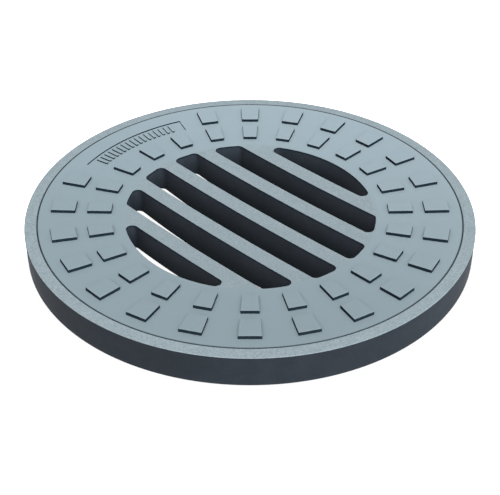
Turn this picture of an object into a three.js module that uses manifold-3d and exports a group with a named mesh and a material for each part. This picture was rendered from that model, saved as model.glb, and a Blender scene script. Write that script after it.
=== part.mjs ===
// A round slotted manhole cover in its frame: a cast-iron frame with rubber pads in its seat, and a loose
// cast-iron grate, dished to drain, that lifts straight out.
// Millimetres, +Z up. The origin is on the cover's axis, level with the lowest part of the grate's bars.
import * as THREE from "three";
import { mergeVertices } from "three/addons/utils/BufferGeometryUtils.js";
import Module from "manifold-3d";

const wasm = await Module();
wasm.setup();

// Frame
const frameRadius = 340;
const frameHeight = 47;
const frameWall = 18.5; // the frame's flat top, between its outer wall and its bore
const frameEdge = 1.2; // chamfer round the outer top edge
const seatWidth = 16.5;
const seatThickness = 14;

// Rubber pads in the seat
const padCount = 6;
const padLength = 64;
const padWidth = 10;
const padHeight = 6;
const padProud = 1.5; // how far a pad stands above the seat
const contactGap = 0.3; // between pieces that touch

// Grate: the plate
const coverGap = 1; // between the grate and the frame's bore
const plateThickness = 14;
const dishDepth = 12; // how much lower the plate's centre is than its edge
const rimRibWidth = 24.5; // the bearing rim under the plate's edge
const edgeLand = 18.1; // plain ring outside the tread blocks

// Grate: tread blocks in two rings
const blockPositions = 24;
const blockHeight = 5.2;
const blockLength = 37;
const blockHalfAngle = THREE.MathUtils.degToRad(3.05);
const ringGap = 17.5; // between the two rings of blocks
const slotLand = 18.9; // plain ring between the blocks and the slots

// Grate: slots, bars and ribs
const slotWidth = 42;
const slotDraft = 0.4; // how much a slot's side leans out over its depth
const slotCorner = 9;
const barWidth = 26.4;
const barDrop = 13.6; // how far the bars' bellies hang below the frame
const barFlatRadius = 70; // the flat middle of the bars' undersides
const ringRibWidth = 14; // deep ring round the slots
const radialRibCount = 12;
const radialRibWidth = 10;

// Grate: sunk panel at +Y, with a row of plain ribs in it
const panelHalfAngle = THREE.MathUtils.degToRad(20.2);
const panelDepth = 2.4;
const panelWidth = 30.5;
const panelFromEdge = 28; // from the grate's edge to the panel
const panelRibs = 17;
const panelRibWidth = 4;
const panelRibMargin = 5; // from a rib's ends to the panel's long sides
const panelEndMargin = 21; // from the last rib to the panel's short side

const roundSegments = 72;
const dishSegments = 5;
const bellySegments = 4;
const arcSegments = 7;
const overcut = 5; // how far a cutting solid runs past what it cuts

// Levels and radii that follow from the sizes above
const frameBase = barDrop;
const frameTop = frameBase + frameHeight;
const seatLevel = frameBase + seatThickness;
const boreRadius = frameRadius - frameWall;
const openingRadius = boreRadius - seatWidth;
const grateRadius = boreRadius - coverGap;
const rimUnderside = seatLevel + padProud + contactGap;
const outerRing = grateRadius - edgeLand - blockLength;
const innerRing = outerRing - ringGap - blockLength;
const slotRadius = innerRing - slotLand;
const ringRibRadius = slotRadius + ringRibWidth;
const bellyRadius = slotRadius + ringRibWidth / 2; // where the bellies end, level with the frame's underside
const rimRibRadius = grateRadius - rimRibWidth;
const panelRadius = grateRadius - panelFromEdge - panelWidth;
const slotPitch = slotWidth + barWidth;
const padRadius = (boreRadius + openingRadius) / 2;

// Height of the dished top at a radius
function topLevel(radius) {
  return frameTop - dishDepth * (1 - (radius / grateRadius) ** 2);
}

// The bellied underside of the bars, from the flat middle out to the ring rib
function bellyPoints() {
  const step = (bellyRadius - barFlatRadius) / bellySegments;
  const radii = Array.from({ length: bellySegments + 1 }, (_, i) => barFlatRadius + i * step);
  const run = bellyRadius ** 2 - barFlatRadius ** 2;
  return radii.map((radius) => [radius, (frameBase * (radius ** 2 - barFlatRadius ** 2)) / run]);
}

// A closed three.js geometry as a solid that can be cut and joined
function solidOf(geometry) {
  const bare = geometry.clone();
  bare.deleteAttribute("normal");
  bare.deleteAttribute("uv");
  const merged = mergeVertices(bare);
  const corners = merged.index.array;
  const triVerts = [];
  for (let i = 0; i < corners.length; i += 3) {
    const [a, b, c] = corners.slice(i, i + 3);
    if (a !== b && b !== c && c !== a) triVerts.push(a, b, c);
  }
  const vertProperties = merged.getAttribute("position").array;
  return new wasm.Manifold(
    new wasm.Mesh({ numProp: 3, vertProperties, triVerts: new Uint32Array(triVerts) }),
  );
}

function meshOf(name, solid, material) {
  const { vertProperties, triVerts } = solid.getMesh();
  const indexed = new THREE.BufferGeometry();
  indexed.setAttribute("position", new THREE.BufferAttribute(vertProperties, 3));
  indexed.setIndex(new THREE.BufferAttribute(triVerts, 1));
  const geometry = indexed.toNonIndexed();
  geometry.computeVertexNormals();
  const mesh = new THREE.Mesh(geometry, material);
  mesh.name = name;
  return mesh;
}

// A profile of [radius, height] points turned about Z, from the bottom round the outside to the top
function turned(profile) {
  const points = profile.map(([radius, height]) => new THREE.Vector2(radius, height));
  return solidOf(new THREE.LatheGeometry(points, roundSegments).rotateX(Math.PI / 2));
}

function prism(shape, from, to) {
  const settings = { depth: to - from, bevelEnabled: false, curveSegments: arcSegments };
  return new THREE.ExtrudeGeometry(shape, settings).translate(0, 0, from);
}

function sector(inner, outer, from, to) {
  const shape = new THREE.Shape();
  shape.absarc(0, 0, outer, from, to, false);
  shape.absarc(0, 0, inner, to, from, true);
  return shape;
}

// Points of the dished top at some radii, moved up or down
function dishPoints(radii, offset) {
  return radii.map((radius) => [radius, topLevel(radius) + offset]);
}

// A ring that follows the dished top, from below it to above it
function dishLayer(radii, below, above) {
  const lower = dishPoints(radii, -below);
  const upper = dishPoints(radii, above).reverse();
  return turned([...lower, ...upper, lower[0]]);
}

// A straight bar that points away from the axis, as wide at each end as it is told
function radialBar(inner, outer, innerWidth, outerWidth, angle, from, to) {
  const outline = new THREE.Shape([
    new THREE.Vector2(inner, -innerWidth / 2),
    new THREE.Vector2(outer, -outerWidth / 2),
    new THREE.Vector2(outer, outerWidth / 2),
    new THREE.Vector2(inner, innerWidth / 2),
  ]);
  return solidOf(prism(outline, from, to).rotateZ(angle));
}

function frameSolid() {
  const ring = turned([
    [openingRadius, frameBase],
    [frameRadius, frameBase],
    [frameRadius, frameTop - frameEdge],
    [frameRadius - frameEdge, frameTop],
    [boreRadius, frameTop],
    [boreRadius, seatLevel],
    [openingRadius, seatLevel],
    [openingRadius, frameBase],
  ]);
  const pocketDepth = padHeight - padProud + contactGap;
  const pockets = padAngles().map((angle) =>
    padSolid(angle, contactGap, seatLevel - pocketDepth, seatLevel + overcut),
  );
  return ring.subtract(wasm.Manifold.union(pockets));
}

function padAngles() {
  return Array.from({ length: padCount }, (_, i) => (2 * Math.PI * (i + 0.5)) / padCount);
}

// A pad's outline along the seat, grown by a margin all round
function padSolid(angle, margin, from, to) {
  const half = (padLength / 2 + margin) / padRadius;
  const reach = padWidth / 2 + margin;
  const outline = sector(padRadius - reach, padRadius + reach, angle - half, angle + half);
  return solidOf(prism(outline, from, to));
}

// The slots' edges across X, from the middle outwards, as many as leave room for their round corners
function slotSides() {
  const sides = [];
  for (let inner = barWidth / 2; inner + 3 * slotCorner < slotRadius; inner += slotPitch) {
    sides.push([inner, inner + slotWidth]);
  }
  return sides;
}

// One slot on the +X side: straight sides along Y, ends on the slot circle, round corners
function slotOutline([inner, outer]) {
  const shape = new THREE.Shape();
  const cornerAt = (x) => {
    const reach = slotRadius - slotCorner;
    return { x, y: Math.sqrt(reach ** 2 - x ** 2), angle: Math.acos(x / reach) };
  };
  const left = cornerAt(inner + slotCorner);
  const right = outer + slotCorner < slotRadius ? cornerAt(outer - slotCorner) : null;
  const last = right ? right.angle : 0;
  shape.moveTo(inner, -left.y);
  shape.absarc(left.x, -left.y, slotCorner, Math.PI, 2 * Math.PI - left.angle, false);
  shape.absarc(0, 0, slotRadius, -left.angle, -last, false);
  if (right) {
    shape.absarc(right.x, -right.y, slotCorner, -last, 0, false);
    shape.absarc(right.x, right.y, slotCorner, 0, last, false);
  }
  shape.absarc(0, 0, slotRadius, last, left.angle, false);
  shape.absarc(left.x, left.y, slotCorner, left.angle, Math.PI, false);
  return shape;
}

// The slot's sides lean out downwards about its own middle line, so that what drops in falls through
function slotSolid(sides) {
  const geometry = prism(slotOutline(sides), -overcut, frameTop + overcut);
  const middle = (sides[0] + sides[1]) / 2;
  const lean = (slotWidth + 2 * slotDraft) / slotWidth;
  const place = geometry.getAttribute("position");
  for (let i = 0; i < place.count; i++) {
    if (place.getZ(i) < 0) place.setX(i, middle + (place.getX(i) - middle) * lean);
  }
  return geometry;
}

function slotSolids() {
  return slotSides().flatMap((sides) => {
    const slot = slotSolid(sides);
    return [solidOf(slot), solidOf(slot.clone().rotateZ(Math.PI))];
  });
}

function treadBlocks() {
  const blocks = [];
  for (let i = 0; i < blockPositions; i++) {
    const angle = (2 * Math.PI * i) / blockPositions;
    const clearOfPanel = Math.abs(angle - Math.PI / 2) > panelHalfAngle;
    for (const inner of clearOfPanel ? [innerRing, outerRing] : [innerRing]) {
      const outer = inner + blockLength;
      const spread = 2 * Math.tan(blockHalfAngle);
      const top = frameTop + 2 * blockHeight;
      blocks.push(radialBar(inner, outer, inner * spread, outer * spread, angle, 0, top));
    }
  }
  const middle = outerRing - ringGap / 2;
  const radii = [innerRing - slotLand / 2, middle, grateRadius - edgeLand / 2];
  return wasm.Manifold.union(blocks).intersect(dishLayer(radii, overcut, blockHeight));
}

function panelRecess() {
  const outline = sector(
    panelRadius,
    panelRadius + panelWidth,
    Math.PI / 2 - panelHalfAngle,
    Math.PI / 2 + panelHalfAngle,
  );
  const radii = [panelRadius - overcut, panelRadius + panelWidth + overcut];
  return solidOf(prism(outline, 0, frameTop + 2 * overcut)).intersect(dishLayer(radii, panelDepth, overcut));
}

function panelRibSolids() {
  const reach = panelHalfAngle - panelEndMargin / panelRadius;
  const first = Math.PI / 2 - reach;
  const step = (2 * reach) / (panelRibs - 1);
  const bars = Array.from({ length: panelRibs }, (_, i) =>
    radialBar(
      panelRadius + panelRibMargin,
      panelRadius + panelWidth - panelRibMargin,
      panelRibWidth,
      panelRibWidth,
      first + i * step,
      0,
      frameTop + overcut,
    ),
  );
  const layer = dishLayer([panelRadius, panelRadius + panelWidth], 2 * panelDepth, 0);
  return wasm.Manifold.union(bars).intersect(layer);
}

// What the ribs may fill: everything inside the bearing rim, down to the sloping underside
function undersideEnvelope() {
  const reach = rimRibRadius + rimRibWidth / 2;
  return turned([
    [0, 0],
    ...bellyPoints(),
    [ringRibRadius, frameBase],
    [rimRibRadius, rimUnderside],
    [reach, rimUnderside],
    [reach, frameTop - plateThickness / 2],
    [0, topLevel(0) - plateThickness / 2],
  ]);
}

function grateSolid() {
  const topRadii = Array.from({ length: dishSegments + 1 }, (_, i) => (grateRadius * i) / dishSegments);
  const body = turned([
    [0, 0],
    ...bellyPoints(),
    [ringRibRadius, frameBase],
    ...dishPoints([ringRibRadius, rimRibRadius], -plateThickness),
    [rimRibRadius, rimUnderside],
    [grateRadius, rimUnderside],
    ...dishPoints(topRadii, 0).reverse(),
  ]);
  const ribs = Array.from({ length: radialRibCount }, (_, i) =>
    radialBar(
      ringRibRadius - ringRibWidth / 2,
      rimRibRadius + rimRibWidth / 3,
      radialRibWidth,
      radialRibWidth,
      (2 * Math.PI * (i + 0.5)) / radialRibCount,
      -overcut,
      frameTop,
    ),
  );
  return body
    .add(wasm.Manifold.union(ribs).intersect(undersideEnvelope()))
    .subtract(wasm.Manifold.union(slotSolids()))
    .add(treadBlocks())
    .subtract(panelRecess())
    .add(panelRibSolids());
}

const castIron = new THREE.MeshStandardMaterial({ color: 0x9aa7ae, roughness: 0.62, metalness: 0.35 });
const darkIron = new THREE.MeshStandardMaterial({ color: 0x8f9ca2, roughness: 0.66, metalness: 0.35 });
const rubber = new THREE.MeshStandardMaterial({ color: 0x1d1e20, roughness: 0.85, metalness: 0 });

const manholeCover = new THREE.Group();
manholeCover.add(meshOf("frame", frameSolid(), darkIron));
manholeCover.add(meshOf("grate", grateSolid(), castIron));
padAngles().forEach((angle, i) => {
  const floor = seatLevel - padHeight + padProud;
  const pad = padSolid(angle, 0, floor, floor + padHeight);
  manholeCover.add(meshOf(`seat_pad_${i + 1}`, pad, rubber));
});

export default manholeCover;
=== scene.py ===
# A round slotted manhole cover in its frame. Metres, +Z up, slots along Y, sunk panel on +Y.
import math

import bmesh
import bpy
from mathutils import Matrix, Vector


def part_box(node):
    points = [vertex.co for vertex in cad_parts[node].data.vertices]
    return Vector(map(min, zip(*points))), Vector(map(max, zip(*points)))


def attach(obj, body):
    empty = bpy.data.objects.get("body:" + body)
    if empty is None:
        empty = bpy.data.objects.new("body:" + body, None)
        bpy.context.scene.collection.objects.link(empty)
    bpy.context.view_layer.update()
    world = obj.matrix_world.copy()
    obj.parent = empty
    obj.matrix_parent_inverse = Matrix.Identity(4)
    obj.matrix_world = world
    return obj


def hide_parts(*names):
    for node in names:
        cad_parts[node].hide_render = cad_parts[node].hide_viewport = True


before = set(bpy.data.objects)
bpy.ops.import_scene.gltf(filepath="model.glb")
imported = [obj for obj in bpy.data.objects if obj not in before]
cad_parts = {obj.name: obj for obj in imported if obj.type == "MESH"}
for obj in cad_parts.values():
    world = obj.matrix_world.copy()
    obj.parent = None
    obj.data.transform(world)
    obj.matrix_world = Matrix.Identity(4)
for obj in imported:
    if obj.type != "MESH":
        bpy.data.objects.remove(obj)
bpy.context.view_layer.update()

frameLow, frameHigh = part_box("frame")
grateLow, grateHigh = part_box("grate")
print("frame loaded:", len(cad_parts), "nodes")

# What the pieces share
fit = {
    "boreRadius": 0.3215,
    "openingRadius": 0.305,
    "seatLevel": frameLow.z + 0.014,
    "rimUnderside": frameLow.z + 0.0158,
    "dishDepth": 0.012,
    "turns": 240,             # steps round the turned pieces
    "smoothAngle": math.radians(33),
}
closeGap = {"turned": 1e-5, "lofted": 1e-7, "finished": 2e-7}  # points nearer than this become one
quarterTurn = [math.radians(22.5 * step) for step in range(5)]  # the steps of a rounded corner


# Camera
cameraView = {
    "place": (-0.8966, -0.8966, frameHigh.z + 0.8646),
    "turn": (math.radians(53.34), 0, math.radians(-45)),
    "lens": 72.24,
}


def makeCamera(view):
    camera = bpy.data.cameras.new("camera")
    camera.lens = view["lens"]
    camera.sensor_width = 36
    holder = bpy.data.objects.new("camera", camera)
    bpy.context.scene.collection.objects.link(holder)
    holder.location = view["place"]
    holder.rotation_euler = view["turn"]
    bpy.context.scene.camera = holder


makeCamera(cameraView)


# Helpers for modelling
def pickOnly(*pieces):
    if bpy.context.mode != "OBJECT":
        bpy.ops.object.mode_set(mode="OBJECT")
    bpy.ops.object.select_all(action="DESELECT")
    for piece in pieces:
        piece.select_set(True)
    if pieces:
        bpy.context.view_layer.objects.active = pieces[0]


def edit(piece):
    pickOnly(piece)
    bpy.ops.object.mode_set(mode="EDIT")


def closeMesh(piece, gap):
    # doubles first, then the faces are turned outwards
    edit(piece)
    bpy.ops.mesh.select_all(action="SELECT")
    bpy.ops.mesh.remove_doubles(threshold=gap)
    bpy.ops.mesh.normals_make_consistent(inside=False)
    bpy.ops.object.mode_set(mode="OBJECT")


def selectWhere(piece, part, test):
    # part is "verts", "edges" or "faces", and test gets one of them
    sketch = bmesh.from_edit_mesh(piece.data)
    for group in (sketch.faces, sketch.edges, sketch.verts):
        for one in group:
            one.select = False
    sketch.select_mode = {part[:-1].upper()}
    for one in getattr(sketch, part):
        if test(one):
            one.select = True
    sketch.select_flush_mode()
    bmesh.update_edit_mesh(piece.data)


def drawProfile(name, points, rounds=()):
    # a flat section in the XZ plane, drawn corner by corner, with some corners rounded
    reach = 2e-5  # a corner is found within this of its place
    pickOnly()
    bpy.ops.mesh.primitive_plane_add(size=0.01)
    piece = bpy.context.object
    piece.name = name
    bpy.ops.object.mode_set(mode="EDIT")
    bpy.ops.mesh.merge(type="CENTER")
    here = Vector((0, 0, 0))
    for number, (across, up) in enumerate(points):
        there = Vector((across, 0, up))
        if number == 0:
            bpy.ops.transform.translate(value=there - here)
        else:
            bpy.ops.mesh.extrude_vertices_move(TRANSFORM_OT_translate={"value": there - here})
        here = there
    bpy.ops.mesh.select_all(action="SELECT")
    bpy.ops.mesh.edge_face_add()
    for (across, up), radius in rounds:
        corner = Vector((across, 0, up))
        selectWhere(piece, "verts", lambda vertex: (vertex.co - corner).length < reach)
        bpy.ops.mesh.bevel(offset=radius, segments=4, affect="VERTICES")
    return piece


def turnRound(piece, steps):
    bpy.ops.mesh.select_all(action="SELECT")
    bpy.ops.mesh.delete(type="ONLY_FACE")
    bpy.ops.mesh.select_all(action="SELECT")
    bpy.ops.mesh.spin(steps=steps, angle=math.tau, center=(0, 0, 0), axis=(0, 0, 1))
    closeMesh(piece, closeGap["turned"])


def loft(name, rings):
    # a disc is extruded once for each ring after the first, and its rims are moved to the rings
    count = len(rings[0])
    pickOnly()
    bpy.ops.mesh.primitive_circle_add(vertices=count, radius=1, fill_type="NGON")
    piece = bpy.context.object
    piece.name = name
    bpy.ops.object.mode_set(mode="EDIT")
    bpy.ops.mesh.select_all(action="SELECT")
    for _ in rings[1:]:
        bpy.ops.mesh.extrude_region_move(TRANSFORM_OT_translate={"value": (0, 0, 1)})
    bpy.ops.object.mode_set(mode="OBJECT")
    for vertex in piece.data.vertices:
        turn = math.atan2(vertex.co.y, vertex.co.x) / math.tau
        vertex.co = rings[round(vertex.co.z)][round(turn * count) % count]
    closeMesh(piece, closeGap["lofted"])
    return piece


def sweepRound(name, section, angles):
    # a section of (radius, height) points carried round Z
    rings = []
    for angle in angles:
        ring = [(r * math.cos(angle), r * math.sin(angle), z) for r, z in section(angle)]
        rings.append(ring)
    return loft(name, rings)


def settle(piece, place=(0, 0, 0), turn=(0, 0, 0)):
    # puts a piece where it belongs and leaves its object at the origin
    pickOnly(piece)
    piece.location = place
    piece.rotation_euler = turn
    bpy.ops.object.transform_apply(location=True, rotation=True, scale=True)


def copyTurned(piece, angle, name=None):
    pickOnly(piece)
    bpy.ops.object.duplicate(linked=False)
    other = bpy.context.object
    if name:
        other.name = name
        other.data.name = name
    settle(other, turn=(0, 0, angle))
    return other


def joinAll(pieces):
    pickOnly(*pieces)
    bpy.ops.object.join()
    return bpy.context.object


def combine(piece, tool, operation):
    change = piece.modifiers.new(operation, "BOOLEAN")
    change.operation = operation
    change.solver = "EXACT"
    change.object = tool
    pickOnly(piece)
    bpy.ops.object.modifier_apply(modifier=change.name)
    bpy.data.objects.remove(tool)


def finishShape(piece):
    closeMesh(piece, closeGap["finished"])
    bpy.ops.object.shade_smooth_by_angle(angle=fit["smoothAngle"])
    weigh = piece.modifiers.new("even faces", "WEIGHTED_NORMAL")
    weigh.keep_sharp = True
    bpy.ops.object.modifier_apply(modifier=weigh.name)
    piece.data.name = piece.name


def spread(first, last, count):
    return [first + (last - first) * i / (count - 1) for i in range(count)]


def topLevel(radius):
    return frameHigh.z - fit["dishDepth"] * (1 - (radius / grateHigh.x) ** 2)


def dishSlope(radius):
    return 2 * fit["dishDepth"] * radius / grateHigh.x ** 2


# Rubber pads in the frame's seat
padSize = {
    "count": 6,
    "length": 0.064,
    "width": 0.010,
    "height": 0.006,
    "proud": 0.0015,
    "corner": 0.0012,
    "grooves": (0.0018, -0.0018),  # how far each groove's middle is from the pad's
    "grooveWidth": 0.0012,
    "grooveFloor": 0.6,       # the share of its width that a groove has at its floor
    "grooveDepth": 0.0005,
    "gap": 0.0003,
    "sections": 15,
    "endShrink": 0.0009,      # the section is smaller at the ends, and again just before them
    "nearShrink": 0.0003,
    "nearAt": 0.3,            # how far in that is, as a share of the corner
}
padRadius = (fit["boreRadius"] + fit["openingRadius"]) / 2


def padSection(size, shrink=0):
    half = size["width"] / 2 - shrink
    low = fit["seatLevel"] + size["proud"] - size["height"] + shrink
    high = fit["seatLevel"] + size["proud"] - shrink
    corner = size["corner"]
    floor = size["grooveFloor"]
    points = []
    for across, up, start in ((half, low, -90), (half, high, 0), (-half, high, 90), (-half, low, 180)):
        middle = (across - math.copysign(corner, across), up + (corner if up == low else -corner))
        for step in quarterTurn:
            angle = math.radians(start) + step
            points.append((middle[0] + corner * math.cos(angle), middle[1] + corner * math.sin(angle)))
        if start == 0:  # two shallow grooves let the rubber spread
            for centre in size["grooves"]:
                for side, depth in ((1, 0), (floor, 1), (-floor, 1), (-1, 0)):
                    place = centre + side * size["grooveWidth"] / 2
                    points.append((place, high - depth * size["grooveDepth"]))
    return [(padRadius + across, up) for across, up in points]


def makePads(size):
    half = size["length"] / 2 / padRadius
    soft = size["corner"] / padRadius
    near = half - soft * size["nearAt"]
    steps = [-half, -near, -half + soft] + spread(-half, half, size["sections"])[1:-1]
    steps += [half - soft, near, half]
    shrinks = {half: size["endShrink"], near: size["nearShrink"]}
    first = sweepRound("pad", lambda angle: padSection(size, shrinks.get(abs(angle), 0)), steps)
    pads = []
    for number in range(size["count"]):
        angle = math.tau * (number + 0.5) / size["count"]
        pads.append(copyTurned(first, angle, f"rubber_pad_{number + 1}"))
    bpy.data.objects.remove(first)
    for pad in pads:
        finishShape(pad)
    return pads


pads = makePads(padSize)
print("pads made:", len(pads))


# Frame
frameSize = {
    "topEdge": 0.0012,
    "boreEdge": 0.0004,
    "seatFillet": 0.0018,
    "seatEdge": 0.0015,
    "footEdge": 0.0005,
    "pocketOver": 0.004,      # how far the pocket cutter stands over the seat
    "pocketSections": 16,
}


def makeFrame(size):
    outer, top, base = frameHigh.x, frameHigh.z, frameLow.z
    bore, opening, seat = fit["boreRadius"], fit["openingRadius"], fit["seatLevel"]
    points = [(opening, base), (outer, base), (outer, top), (bore, top), (bore, seat), (opening, seat)]
    rounds = [
        ((opening, base), size["footEdge"]),
        ((outer, base), size["footEdge"]),
        ((outer, top), size["topEdge"]),
        ((bore, top), size["boreEdge"]),
        ((bore, seat), size["seatFillet"]),
        ((opening, seat), size["seatEdge"]),
    ]
    ring = drawProfile("ring_frame", points, rounds)
    turnRound(ring, fit["turns"])
    half = (padSize["length"] / 2 + padSize["gap"]) / padRadius
    reach = padSize["width"] / 2 + padSize["gap"]
    floor = seat + padSize["proud"] - padSize["height"] - padSize["gap"]
    over = seat + size["pocketOver"]
    corners = [(padRadius - reach, floor), (padRadius + reach, floor)]
    corners += [(padRadius + reach, over), (padRadius - reach, over)]
    pocket = sweepRound("pocket", lambda angle: corners, spread(-half, half, size["pocketSections"]))
    pockets = [
        copyTurned(pocket, math.tau * (number + 0.5) / padSize["count"])
        for number in range(padSize["count"])
    ]
    bpy.data.objects.remove(pocket)
    combine(ring, joinAll(pockets), "DIFFERENCE")
    finishShape(ring)
    return ring


ringFrame = makeFrame(frameSize)
print("frame made:", len(ringFrame.data.polygons), "faces")


# Grate: the body is turned, then ribs, slots, blocks and the panel follow
bodySize = {
    "centreRadius": 0.020,
    "plateThickness": 0.014,
    "barFlatRadius": 0.070,
    "bellyRadius": 0.199,
    "slotRadius": 0.192,
    "ringRibRadius": 0.206,
    "rimRibRadius": 0.296,
    "wallDraft": 0.0012,
    "topEdge": 0.0004,
    "rimEdge": 0.0012,
    "ribEdge": 0.002,
    "plateFillet": 0.005,
    "bellyPoints": 9,
    "platePoints": 5,
    "topPoints": 20,
}


def underLevel(radius):
    # underside of the bars, which have a belly, and of the ring round them
    flat, ends = bodySize["barFlatRadius"], bodySize["bellyRadius"]
    share = (radius ** 2 - flat ** 2) / (ends ** 2 - flat ** 2)
    return grateLow.z + (frameLow.z - grateLow.z) * min(max(share, 0), 1)


def makeBody(size):
    rim, ringRib, rimRib = grateHigh.x, size["ringRibRadius"], size["rimRibRadius"]
    plate, draft = size["plateThickness"], size["wallDraft"]
    ribTop = (ringRib + draft, topLevel(ringRib) - plate)
    rimTop = (rimRib - draft, topLevel(rimRib) - plate)
    belly = spread(size["barFlatRadius"], size["bellyRadius"], size["bellyPoints"])
    between = spread(ribTop[0], rimTop[0], size["platePoints"])[1:-1]
    top = spread(rim, size["centreRadius"], size["topPoints"])
    points = [(size["centreRadius"], grateLow.z)]
    points += [(radius, underLevel(radius)) for radius in belly]
    points += [(ringRib, frameLow.z), ribTop]
    points += [(radius, topLevel(radius) - plate) for radius in between]
    points += [rimTop, (rimRib, fit["rimUnderside"]), (rim, fit["rimUnderside"])]
    points += [(radius, topLevel(radius)) for radius in top]
    rounds = [
        ((ringRib, frameLow.z), size["ribEdge"]),
        (ribTop, size["plateFillet"]),
        (rimTop, size["plateFillet"]),
        ((rimRib, fit["rimUnderside"]), size["ribEdge"]),
        ((rim, fit["rimUnderside"]), size["rimEdge"]),
        ((rim, topLevel(rim)), size["topEdge"]),
    ]
    body = drawProfile("slotted_grate", points, rounds)
    # the last edge, over the middle, goes, and both round holes are closed flat
    middle = size["centreRadius"] + closeGap["turned"]
    selectWhere(body, "verts", lambda vertex: vertex.co.x < middle)
    bpy.ops.mesh.select_mode(type="EDGE")
    bpy.ops.mesh.delete(type="EDGE_FACE")
    bpy.ops.mesh.select_mode(type="VERT")
    turnRound(body, fit["turns"])
    edit(body)
    bpy.ops.mesh.select_mode(type="EDGE")
    bpy.ops.mesh.select_all(action="DESELECT")
    bpy.ops.mesh.select_non_manifold()
    bpy.ops.mesh.fill_holes(sides=0)
    closeMesh(body, closeGap["turned"])
    return body


grate = makeBody(bodySize)
print("grate body made:", len(grate.data.polygons), "faces")


# Radial ribs under the plate
ribSize = {
    "count": 12,
    "width": 0.010,
    "draft": 0.0006,
    "foot": 0.004,
    "footRise": 0.0002,       # lifts the foot's end clear of the plate's surface
    "edge": 0.002,
    "shy": 0.0005,            # how far a rib stays above the ring's and the rim's underside
    "inner": 0.200,
    "outer": 0.303,
    "sunk": 0.003,            # how far a rib runs up into the plate
    "sections": 7,
}


def ribRing(size, radius):
    share = (radius - bodySize["ringRibRadius"]) / (bodySize["rimRibRadius"] - bodySize["ringRibRadius"])
    share = min(max(share, 0), 1)
    low = frameLow.z + (fit["rimUnderside"] - frameLow.z) * share + size["shy"]
    plate = topLevel(radius) - bodySize["plateThickness"]
    half, foot, edge = size["width"] / 2, size["foot"], size["edge"]
    side = []
    for step in quarterTurn:  # rounded lower edge
        angle = step - math.pi / 2
        side.append((half - edge + edge * math.cos(angle), low + edge + edge * math.sin(angle)))
    side.append((half + size["draft"], plate - foot))
    for angle in quarterTurn[1:]:  # the foot sweeps out into the plate
        out = foot * (1 - math.cos(angle))
        up = plate - foot * (1 - math.sin(angle)) + size["footRise"]
        side.append((half + size["draft"] + out, up))
    side.append((half + size["draft"] + foot, plate + size["sunk"]))
    ring = side + [(-across, up) for across, up in reversed(side)]
    return [(radius, across, up) for across, up in ring]


def makeRibs(size):
    places = spread(size["inner"], size["outer"], size["sections"])
    first = loft("rib", [ribRing(size, radius) for radius in places])
    ribs = [
        copyTurned(first, math.tau * (number + 0.5) / size["count"])
        for number in range(size["count"])
    ]
    bpy.data.objects.remove(first)
    return joinAll(ribs)


combine(grate, makeRibs(ribSize), "UNION")
print("ribs joined:", len(grate.data.polygons), "faces")


# Slots, cut by flared solids so that their edges come out rounded
slotSize = {
    "perSide": 3,
    "width": 0.042,
    "pitch": 0.0684,
    "firstEdge": 0.0132,
    "corner": 0.009,
    "draft": 0.0004,
    "topRound": 0.0009,
    "underRound": 0.0005,
    "meeting": 0.18,          # share of a rounding cut off, so that it meets the face at an angle
    "overrun": 0.006,         # how far the cutter stands out, with flat ends
    "step": 0.006,            # spacing of the points along a straight side
    "cornerPoints": 9,
    "bulgePoints": 26,
}


def slotOutline(size, inner, grow):
    # corner arcs, end arcs on the slot circle and straight sides, all moved out by grow
    circle, corner = bodySize["slotRadius"], size["corner"]
    outer = inner + size["width"]
    reach = circle - corner

    def cornerAt(across):
        return across, math.sqrt(reach ** 2 - across ** 2), math.acos(across / reach)

    leftX, leftY, leftAngle = cornerAt(inner + corner)
    upper = [(inner - grow, y) for y in spread(0, leftY, round(leftY / size["step"]))[:-1]]
    for angle in spread(math.pi, leftAngle, size["cornerPoints"]):
        upper.append((leftX + (corner + grow) * math.cos(angle), leftY + (corner + grow) * math.sin(angle)))
    if outer + corner < circle:
        rightX, rightY, rightAngle = cornerAt(outer - corner)
        for angle in spread(leftAngle, rightAngle, size["cornerPoints"])[1:-1]:
            upper.append(((circle + grow) * math.cos(angle), (circle + grow) * math.sin(angle)))
        for angle in spread(rightAngle, 0, size["cornerPoints"]):
            place = (rightX + (corner + grow) * math.cos(angle), rightY + (corner + grow) * math.sin(angle))
            upper.append(place)
        upper += [(outer + grow, y) for y in spread(rightY, 0, round(rightY / size["step"]))[1:]]
    else:
        for angle in spread(leftAngle, 0, size["bulgePoints"])[1:]:
            upper.append(((circle + grow) * math.cos(angle), (circle + grow) * math.sin(angle)))
    lower = [(x, -y) for x, y in reversed(upper[1:-1])]
    return upper + lower


def slotRing(size, inner, grow, level):
    # level gives a height for a radius; the sides lean out as they go down
    plain = slotOutline(size, inner, 0)
    middle = inner + size["width"] / 2
    ring = []
    for (x, y), (x0, y0) in zip(slotOutline(size, inner, grow), plain):
        height = level(math.hypot(x0, y0))
        lean = 2 * size["draft"] / size["width"] * (frameHigh.z - height) / frameHigh.z
        ring.append((x + (x0 - middle) * lean, y, height))
    return ring


def makeSlot(size, inner):
    top, under = size["topRound"], size["underRound"]
    cut = size["meeting"]
    rings = [slotRing(size, inner, under, lambda radius: grateLow.z - size["overrun"])]
    for angle in reversed(quarterTurn):
        rise = under * (1 - cut - math.sin(angle))
        rings.append(slotRing(
            size, inner, under * (1 - math.cos(angle)), lambda radius: underLevel(radius) + rise))
    for angle in quarterTurn:
        drop = top * (1 - cut - math.sin(angle))
        rings.append(slotRing(
            size, inner, top * (1 - math.cos(angle)), lambda radius: topLevel(radius) - drop))
    rings.append(slotRing(size, inner, top, lambda radius: frameHigh.z + size["overrun"]))
    return loft("slot", rings)


def makeSlots(size):
    slots = []
    for number in range(size["perSide"]):
        slot = makeSlot(size, size["firstEdge"] + number * size["pitch"])
        slots += [slot, copyTurned(slot, math.pi)]
    return joinAll(slots)


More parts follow.
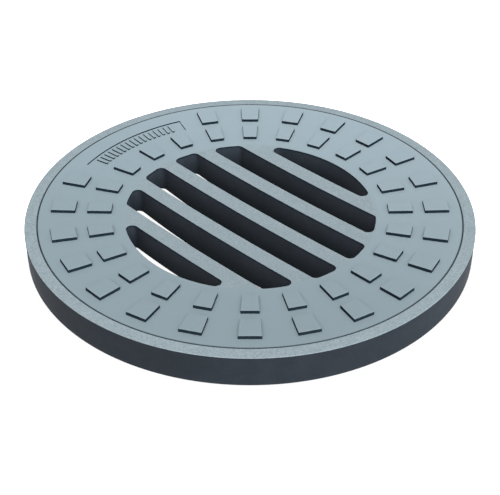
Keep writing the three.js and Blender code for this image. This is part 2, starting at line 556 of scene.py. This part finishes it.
combine(grate, makeSlots(slotSize), "DIFFERENCE")
print("slots cut:", len(grate.data.polygons), "faces")


# Tread blocks
blockSize = {
    "positions": 24,
    "height": 0.0052,
    "length": 0.037,
    "halfAngle": math.radians(3.05),
    "innerRing": 0.2109,
    "outerRing": 0.2654,
    "draft": 0.98,            # the top's size as a share of the foot's
    "edge": 0.0005,
    "root": 0.004,            # how far a block runs down into the plate
    "missing": (5, 6, 7),     # outer places that the panel takes
}


def makeBlock(size, start):
    pickOnly()
    bpy.ops.mesh.primitive_cube_add(size=1)
    block = bpy.context.object
    middle = start + size["length"] / 2
    widths = [2 * radius * math.tan(size["halfAngle"]) for radius in (start, start + size["length"])]
    edit(block)
    bpy.ops.mesh.select_all(action="SELECT")
    tall = size["height"] + size["root"]
    bpy.ops.transform.resize(value=(size["length"], widths[0], tall), center_override=(0, 0, 0))
    bpy.ops.transform.translate(value=(0, 0, size["height"] - tall / 2))
    selectWhere(block, "verts", lambda vertex: vertex.co.x > 0)
    bpy.ops.transform.resize(value=(1, widths[1] / widths[0], 1), center_override=(0, 0, 0))
    selectWhere(block, "verts", lambda vertex: vertex.co.z > 0)
    bpy.ops.transform.resize(value=(size["draft"], size["draft"], 1), center_override=(0, 0, 0))
    selectWhere(block, "edges", lambda edge: max(end.co.z for end in edge.verts) > 0)
    bpy.ops.mesh.bevel(offset=size["edge"], segments=3, affect="EDGES")
    settle(block, (middle, 0, topLevel(middle)), (0, -math.atan(dishSlope(middle)), 0))
    return block


def makeBlocks(size):
    blocks = []
    for start in (size["innerRing"], size["outerRing"]):
        first = makeBlock(size, start)
        for number in range(size["positions"]):
            if start == size["innerRing"] or number not in size["missing"]:
                blocks.append(copyTurned(first, math.tau * number / size["positions"]))
        bpy.data.objects.remove(first)
    return joinAll(blocks)


combine(grate, makeBlocks(blockSize), "UNION")
print("blocks joined:", len(grate.data.polygons), "faces")


# Sunk panel with a row of plain ribs
panelSize = {
    "halfAngle": math.radians(20.2),
    "inner": 0.262,
    "outer": 0.2925,
    "depth": 0.0024,
    "fillet": 0.0006,
    "ribs": 17,
    "ribWidth": 0.004,
    "ribMargin": 0.005,
    "endMargin": 0.021,
    "ribEdge": 0.0003,
    "ribTaper": (0.985, 0.94),  # a rib's top as a share of its foot, along and across
    "filletStep": 0.3,        # place of the point that rounds the panel's fillet
    "over": 0.004,            # how far the cutter stands over the plate
    "floorPoints": 6,
    "sections": 33,
}


def panelSection(size):
    inner, outer, fillet = size["inner"], size["outer"], size["fillet"]
    soft = fillet * size["filletStep"]
    innerFloor, outerFloor = topLevel(inner) - size["depth"], topLevel(outer) - size["depth"]
    points = [(inner, topLevel(inner) + size["over"]), (inner, innerFloor + fillet)]
    points += [(inner + soft, innerFloor + soft)]
    for radius in spread(inner + fillet, outer - fillet, size["floorPoints"]):
        points.append((radius, topLevel(radius) - size["depth"]))
    points += [(outer - soft, outerFloor + soft), (outer, outerFloor + fillet)]
    return points + [(outer, topLevel(outer) + size["over"])]


def makePanelRib(size):
    pickOnly()
    bpy.ops.mesh.primitive_cube_add(size=1)
    rib = bpy.context.object
    length = size["outer"] - size["inner"] - 2 * size["ribMargin"]
    tall = 2 * size["depth"]
    waist = -tall / 2
    edit(rib)
    bpy.ops.mesh.select_all(action="SELECT")
    bpy.ops.transform.resize(value=(length, size["ribWidth"], tall), center_override=(0, 0, 0))
    bpy.ops.transform.translate(value=(0, 0, waist))
    selectWhere(rib, "verts", lambda vertex: vertex.co.z > waist)
    bpy.ops.transform.resize(value=(*size["ribTaper"], 1), center_override=(0, 0, 0))
    selectWhere(rib, "edges", lambda edge: max(end.co.z for end in edge.verts) > waist)
    bpy.ops.mesh.bevel(offset=size["ribEdge"], segments=2, affect="EDGES")
    middle = (size["inner"] + size["outer"]) / 2
    settle(rib, (middle, 0, topLevel(middle)), (0, -math.atan(dishSlope(middle)), 0))
    return rib


def makePanel(size):
    middle = math.pi / 2
    ends = (middle - size["halfAngle"], middle + size["halfAngle"])
    recess = sweepRound("recess", lambda angle: panelSection(size), spread(*ends, size["sections"]))
    combine(grate, recess, "DIFFERENCE")
    first = makePanelRib(size)
    reach = size["halfAngle"] - size["endMargin"] / size["inner"]
    ribs = [copyTurned(first, angle) for angle in spread(middle - reach, middle + reach, size["ribs"])]
    bpy.data.objects.remove(first)
    combine(grate, joinAll(ribs), "UNION")


makePanel(panelSize)
finishShape(grate)
print("grate made:", len(grate.data.polygons), "faces")


# Finishes
class Wire:
    # a shader socket that takes part in sums
    def __init__(self, socket):
        self.socket = socket
        self.tree = socket.id_data

    def add(self, kind, settings=None, inputs=None, out=0):
        # any node: its settings are set first, then its sockets get values or links
        node = self.tree.nodes.new(kind)
        for name, value in (settings or {}).items():
            if name == "stops":
                ramp = node.color_ramp
                while len(ramp.elements) < len(value):
                    ramp.elements.new(0.5)
                for element, (place, colour) in zip(ramp.elements, value):
                    element.position = place
                    element.color = (*colour, 1)
            else:
                setattr(node, name, value)
        for name, value in (inputs or {}).items():
            if isinstance(value, Wire):
                self.tree.links.new(value.socket, node.inputs[name])
            else:
                node.inputs[name].default_value = value
        return Wire(node.outputs[out])

    def sums(self, operation, first, second):
        return self.add("ShaderNodeMath", {"operation": operation}, {0: first, 1: second})

    def __add__(self, other):
        return self.sums("ADD", self, other)

    def __radd__(self, other):
        return self.sums("ADD", other, self)

    def __sub__(self, other):
        return self.sums("SUBTRACT", self, other)

    def __rsub__(self, other):
        return self.sums("SUBTRACT", other, self)

    def __mul__(self, other):
        return self.sums("MULTIPLY", self, other)

    def __rmul__(self, other):
        return self.sums("MULTIPLY", other, self)

    def __truediv__(self, other):
        return self.sums("DIVIDE", self, other)

    def __pow__(self, other):
        return self.sums("POWER", self, other)


def shade(hexText):
    # a screen colour such as 9aa7ae as the linear numbers that a shader wants
    parts = [int(hexText[i:i + 2], 16) / 255 for i in (0, 2, 4)]
    return tuple(p / 12.92 if p <= 0.04045 else ((p + 0.055) / 1.055) ** 2.4 for p in parts)


def fade(value, low, high):
    # 0 below low, 1 above high, soft between; a pair from a look is given with a star
    return value.add("ShaderNodeMapRange", {"interpolation_type": "SMOOTHSTEP"},
                     {"Value": value, "From Min": low, "From Max": high})


def blendColours(share, first, second):
    colours = {}
    for name, colour in (("A", first), ("B", second)):
        colours[name] = colour if isinstance(colour, Wire) else (*colour, 1)
    node = share.tree.nodes.new("ShaderNodeMix")
    node.data_type = "RGBA"
    share.tree.links.new(share.socket, node.inputs[0])
    for socket, colour in ((node.inputs[6], colours["A"]), (node.inputs[7], colours["B"])):
        if isinstance(colour, Wire):
            share.tree.links.new(colour.socket, socket)
        else:
            socket.default_value = colour
    return Wire(node.outputs[2])


def startFinish(name):
    material = bpy.data.materials.new(name)
    material.use_nodes = True
    shader = material.node_tree.nodes["Principled BSDF"]
    coordinates = material.node_tree.nodes.new("ShaderNodeTexCoord")
    place = Wire(coordinates.outputs["Object"])
    facing = Wire(coordinates.outputs["Normal"])
    return material, shader, place, facing


def feed(shader, name, wire):
    wire.tree.links.new(wire.socket, shader.inputs[name])


def noise(place, scale, detail=2.0, roughness=0.5):
    return place.add("ShaderNodeTexNoise", None,
                     {"Vector": place, "Scale": scale, "Detail": detail, "Roughness": roughness})


ironLook = {
    "plateNear": "818e93",    # smooth, worn top, painted paler towards +X +Y as painted light, with painted shade on the near side
    "plateFar": "8f9ca2",
    "grained": "929da1",      # rim and bars, a little greener
    "grainedDark": "7d888c",
    "coatAndShade": "282c32",         # black coating left on walls and underside, which also serves as painted shade on every face that doesn't look up
    "coatAndShadeLight": "32363d",
    "deep": "11171a",         # painted shade: the same coating, darker low in the slots and on the frame's inner walls
    "jointDarkAndSideShade": "18232a",         # darker along the joint, and painted shade on the sides of blocks and ribs
    "machined": "7e8488",     # seat and bearing rim
    "edge": "b4c1c8",         # worn edges
    "paintedLightRate": 1.45,       # how fast the painted light pales the top from one side to the other
    "paintedLightSide": 0.2,       # how much of that runs along Y
    "paintedLightStart": 0.38,     # how pale it is at the axis
    "weatherPatches": 0.25,
    "weatherMottle": 0.15,
    "patchScale": 9,
    "mottleScale": 60,
    "speckleScale": 600,
    "fineScale": 1100,
    "topFacing": (0.45, 0.85),  # how far up a face must look to lose its coating and the painted shade
    "downFacing": (-0.8, -0.3),  # faces that look down keep the plain coating, without the painted depth shade
    "edgeFacing": (0.35, 0.7, 0.9, 0.985),  # a rounded edge starts and ends between these
    "castSpread": (0.36, 0.64),
    "coatSpread": (0.35, 0.65),
    "edgeSpread": (0.35, 0.6),
    "edgeShare": 0.25,
    "metallic": 0.0,
    "specular": 0.045,
    "plateRough": 0.46,
    "grainRough": 0.56,
    "coatRough": 0.7,
    "machinedRough": 0.34,
    "roughMottle": 0.12,
    "roughFine": 0.1,
    "toolMarks": 5200,        # turns of the cutting tool, as radians to the metre
    "bumpStrength": 0.35,
    "bumpDepth": 0.0003,
}


def ironFinish(name, look, grainedWhere, machinedWhere, deepWhere, jointDarkAndSideShadeWhere):
    material, shader, place, facing = startFinish(name)
    parts = place.tree.nodes.new("ShaderNodeSeparateXYZ")
    place.tree.links.new(place.socket, parts.inputs[0])
    x, y, z = (Wire(parts.outputs[i]) for i in range(3))
    radius = (x * x + y * y) ** 0.5
    upNode = place.tree.nodes.new("ShaderNodeSeparateXYZ")
    place.tree.links.new(facing.socket, upNode.inputs[0])
    up = Wire(upNode.outputs[2])

    patches = noise(place, look["patchScale"], 3)
    mottle = noise(place, look["mottleScale"], 4)
    speckle = noise(place, look["speckleScale"], 2, 0.6)
    fine = noise(place, look["fineScale"], 2, 0.6)

    onTop = fade(up, *look["topFacing"])
    grained = grainedWhere(radius) * onTop
    machined = machinedWhere(radius, z, up)
    rounded = fade(up, *look["edgeFacing"][:2]) * (1 - fade(up, *look["edgeFacing"][2:]))

    # painted light and shade: the top pales from the near side towards +X +Y, with random patches and
    # mottle mixed in
    across = (x + y * look["paintedLightSide"]) * look["paintedLightRate"] + look["paintedLightStart"]
    across = across + (patches - 0.5) * look["weatherPatches"] + (mottle - 0.5) * look["weatherMottle"]
    across = fade(across, 0, 1)
    plate = blendColours(across, shade(look["plateNear"]), shade(look["plateFar"]))
    cast = blendColours(fade(speckle * 0.85 + mottle * 0.15, *look["castSpread"]),
                        shade(look["grainedDark"]), shade(look["grained"]))
    # painted shade: the bars darken on the near side along the same gradient
    cast = blendColours((1 - across) * look["barsNearShade"], cast, shade(look["grainedDark"]))
    # the coating on faces that don't look up also serves as their painted shade
    coatAndShade = blendColours(fade(patches * 0.4 + mottle * 0.3 + speckle * 0.3, *look["coatSpread"]),
                        shade(look["coatAndShade"]), shade(look["coatAndShadeLight"]))
    # painted shade: walls darken towards the bottom, low in the slots and inside the frame
    depthShadeShare = deepWhere(radius, z) * fade(up, *look["downFacing"])
    coatAndShade = blendColours(depthShadeShare, coatAndShade, shade(look["deep"]))
    top = blendColours(grained, plate, cast)
    colour = blendColours(onTop, coatAndShade, top)
    # darker along the joint, and painted shade on the sides of blocks and ribs
    colour = blendColours(jointDarkAndSideShadeWhere(radius, z, up), colour, shade(look["jointDarkAndSideShade"]))
    worn = rounded * fade(speckle, *look["edgeSpread"]) * look["edgeShare"]
    colour = blendColours(worn, colour, shade(look["edge"]))
    colour = blendColours(machined, colour, shade(look["machined"]))
    feed(shader, "Base Color", colour)

    rough = look["coatRough"] + onTop * (look["plateRough"] - look["coatRough"])
    rough = rough + grained * (look["grainRough"] - look["plateRough"])
    rough = rough + machined * (look["machinedRough"] - look["coatRough"])
    rough = rough + (mottle - 0.5) * look["roughMottle"] + (fine - 0.5) * look["roughFine"]
    feed(shader, "Roughness", rough)

    turns = radius * look["toolMarks"]
    marks = turns.add("ShaderNodeMath", {"operation": "SINE"}, {0: turns})
    # the sand's grain is strongest on the coated faces and gone where the tool has been
    height = fine * (0.25 + grained * 0.55 + (1 - onTop) * 0.5) + speckle * (0.15 + (1 - onTop) * 0.9)
    height = height * (1 - machined) + mottle * 0.25 + marks * machined * 0.12
    bump = height.add("ShaderNodeBump", None, {
        "Strength": look["bumpStrength"], "Distance": look["bumpDepth"], "Height": height})
    feed(shader, "Normal", bump)

    shader.inputs["Metallic"].default_value = look["metallic"]
    shader.inputs["Specular IOR Level"].default_value = look["specular"]
    return material


def levelBand(height, level):
    # 1 within 0.3 mm of a level, 0 beyond 0.5 mm
    near, far = 0.0003, 0.0005
    return fade(height, level - far, level - near) * (1 - fade(height, level + near, level + far))


def aboveDish(radius, z):
    # height over the grate's dished top
    share = radius / grateHigh.x
    return z - frameHigh.z + fit["dishDepth"] * (1 - share * share)


# where each finish begins and ends: radii and heights in metres, or how far up a face looks
frameLook = {
    **ironLook,
    "coatAndShade": "24282d",
    "coatAndShadeLight": "2c3035",
    "barsNearShade": 0,
    "grainedFrom": (0.30, 0.32),
    "seatFacing": (0.9, 0.99),
    "deepUntil": (0.335, 0.338),
    "jointUntil": (0.3215, 0.3230),  # darker on the bore's upper edge
    "jointFrom": (0.05, 0.055),
    "jointDarkening": 0.8,
}
grateLook = {
    **ironLook,
    "barsNearShade": 0.35,         # how much painted shade darkens the bars on the near side
    "grainedUntil": (0.185, 0.2),
    "bearingFacing": (-0.99, -0.9),
    "bearingFrom": (0.296, 0.298),
    "deepUntil": (-0.050, 0.008),
    "jointFrom": (0.3188, 0.3205),  # darker on the rim's edge
    "jointDarkening": 0.8,
    "sideShadeUntil": (0.3, 0.31),  # painted shade low on the sides of blocks and ribs, and at the slots' tops
    "sideShadeFrom": (-0.0045, -0.002),
    "sideShadeFacing": (0.3, 0.6),
}


def frameGrained(radius):
    return fade(radius, *frameLook["grainedFrom"])


def frameMachined(radius, z, up):
    return levelBand(z, fit["seatLevel"]) * fade(up, *frameLook["seatFacing"])


# painted shade on the frame's inner walls
def frameDepthShade(radius, z):
    return 1 - fade(radius, *frameLook["deepUntil"])


# darker along the bore's upper edge
def frameJointDark(radius, z, up):
    joint = (1 - fade(radius, *frameLook["jointUntil"])) * fade(z, *frameLook["jointFrom"])
    return joint * frameLook["jointDarkening"]


def grateGrained(radius):
    return 1 - fade(radius, *grateLook["grainedUntil"])


def grateMachined(radius, z, up):
    under = 1 - fade(up, *grateLook["bearingFacing"])
    return levelBand(z, fit["rimUnderside"]) * under * fade(radius, *grateLook["bearingFrom"])


# painted shade that deepens down the grate's walls
def grateDepthShade(radius, z):
    return 1 - fade(aboveDish(radius, z), *grateLook["deepUntil"])


# darker along the rim's edge, and painted shade on faces near the top that don't look up
def grateJointDarkAndSideShade(radius, z, up):
    joint = fade(radius, *grateLook["jointFrom"]) * grateLook["jointDarkening"]
    inside = 1 - fade(radius, *grateLook["sideShadeUntil"])
    sides = fade(aboveDish(radius, z), *grateLook["sideShadeFrom"]) * (1 - fade(up, *grateLook["sideShadeFacing"]))
    return joint + inside * sides


frameIron = ironFinish("frame iron", frameLook, frameGrained, frameMachined, frameDepthShade, frameJointDark)
grateIron = ironFinish("grate iron", grateLook, grateGrained, grateMachined, grateDepthShade, grateJointDarkAndSideShade)


rubberLook = {
    "dark": "141416",
    "light": "232427",
    "dust": "3a3b3c",
    "rough": 0.82,
    "specular": 0.3,
    "cloudScale": 90,
    "grainScale": 900,
    "cloudSpread": (0.35, 0.65),
    "dustSpread": (0.6, 0.8),
    "dustShare": 0.4,
    "bumpStrength": 0.4,
    "bumpDepth": 0.0002,
}


def rubberFinish(name, look):
    material, shader, place, _ = startFinish(name)
    cloud = noise(place, look["cloudScale"], 3)
    grain = noise(place, look["grainScale"], 2, 0.6)
    colour = blendColours(fade(cloud, *look["cloudSpread"]), shade(look["dark"]), shade(look["light"]))
    dusty = fade(grain, *look["dustSpread"]) * look["dustShare"]
    colour = blendColours(dusty, colour, shade(look["dust"]))
    feed(shader, "Base Color", colour)
    feed(shader, "Roughness", look["rough"] + (grain - 0.5) * 0.2)
    height = grain * 0.6 + cloud * 0.4
    bump = height.add("ShaderNodeBump", None, {
        "Strength": look["bumpStrength"], "Distance": look["bumpDepth"], "Height": height})
    feed(shader, "Normal", bump)
    shader.inputs["Specular IOR Level"].default_value = look["specular"]
    return material


rubber = rubberFinish("pad rubber", rubberLook)


def dress(piece, material):
    piece.data.materials.clear()
    piece.data.materials.append(material)


dress(ringFrame, frameIron)
dress(grate, grateIron)
for pad in pads:
    dress(pad, rubber)
print("finishes made")


# What each piece rides on and stands for
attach(ringFrame, "frame")
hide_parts("frame")
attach(grate, "grate")
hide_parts("grate")
for number, pad in enumerate(pads, 1):
    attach(pad, "frame")
    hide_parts(f"seat_pad_{number}")


# Floor and light
studio = {
    "floor": "ffffff",
    "floorGlow": 1.0,
    "floorRadius": 40,
    "shaftGap": 0.004,        # the floor stops just outside the frame, as paving does round a shaft
    "floorSides": 180,
    "backdrop": (1.0, 1.0, 1.0),
    "below": (1.6, 1.68, 1.75),  # the sky's colours from straight down to straight up
    "ground": (0.16, 0.19, 0.23),
    "horizon": (0.24, 0.26, 0.29),
    "zenith": (0.66, 0.69, 0.72),
    "belowFade": (-0.75, -0.45),
    "groundFade": (-0.15, 0),
    "worldStrength": 1.0,
    "lamps": {                # around and above say where the light comes from, in degrees
        "key": {
            "around": 219,
            "above": 50,
            "strength": 2.6,
            "soft": 60,
            "colour": (1, 1, 1),
            "shadow": True,
        },
        "fill": {
            "around": 272,
            "above": 14,
            "strength": 3.1,
            "soft": 25,
            "colour": (0.86, 0.95, 1),
            "shadow": False,
        },
    },
}


def makeFloor(look):
    pickOnly()
    shaft = frameHigh.x + look["shaftGap"]
    bpy.ops.mesh.primitive_circle_add(vertices=look["floorSides"], radius=shaft)
    floor = bpy.context.object
    floor.name = "floor"
    edit(floor)
    bpy.ops.mesh.select_all(action="SELECT")
    bpy.ops.mesh.extrude_edges_move()
    bpy.ops.transform.resize(value=[look["floorRadius"] / shaft] * 3)
    bpy.ops.object.mode_set(mode="OBJECT")
    material, shader, _, _ = startFinish("floor white")
    shader.inputs["Base Color"].default_value = (*shade(look["floor"]), 1)
    shader.inputs["Roughness"].default_value = 1
    shader.inputs["Specular IOR Level"].default_value = 0
    shader.inputs["Emission Color"].default_value = (1, 1, 1, 1)
    shader.inputs["Emission Strength"].default_value = look["floorGlow"]
    dress(floor, material)
    floor.visible_diffuse = False  # so that its white isn't thrown up onto the walls


def makeLight(look):
    world = bpy.data.worlds.new("studio")
    bpy.context.scene.world = world
    world.use_nodes = True
    tree = world.node_tree
    direction = Wire(tree.nodes.new("ShaderNodeTexCoord").outputs["Generated"])
    parts = tree.nodes.new("ShaderNodeSeparateXYZ")
    tree.links.new(direction.socket, parts.inputs[0])
    height = Wire(parts.outputs[2])
    colour = blendColours(fade(height, 0, 1), look["horizon"], look["zenith"])
    colour = blendColours(fade(height, *look["groundFade"]), look["ground"], colour)
    colour = blendColours(fade(height, *look["belowFade"]), look["below"], colour)
    background = tree.nodes["Background"]
    tree.links.new(colour.socket, background.inputs["Color"])
    background.inputs["Strength"].default_value = look["worldStrength"]
    plain = tree.nodes.new("ShaderNodeBackground")  # seen behind the object, and lights nothing
    plain.inputs["Color"].default_value = (*look["backdrop"], 1)
    seen = tree.nodes.new("ShaderNodeLightPath")
    choose = tree.nodes.new("ShaderNodeMixShader")
    tree.links.new(seen.outputs["Is Camera Ray"], choose.inputs[0])
    tree.links.new(background.outputs[0], choose.inputs[1])
    tree.links.new(plain.outputs[0], choose.inputs[2])
    tree.links.new(choose.outputs[0], tree.nodes["World Output"].inputs["Surface"])
    for name, one in look["lamps"].items():
        lamp = bpy.data.lights.new(name, "SUN")
        lamp.energy = one["strength"]
        lamp.angle = math.radians(one["soft"])
        lamp.color = one["colour"]
        lamp.use_shadow = one["shadow"]
        holder = bpy.data.objects.new(name, lamp)
        bpy.context.scene.collection.objects.link(holder)
        holder.rotation_euler = (math.radians(90 - one["above"]), 0, math.radians(one["around"] + 90))
    settings = bpy.context.scene.view_settings
    settings.view_transform = "Standard"
    settings.look = "None"


makeFloor(studio)
makeLight(studio)
print("floor and light made")

bpy.context.view_layer.update()
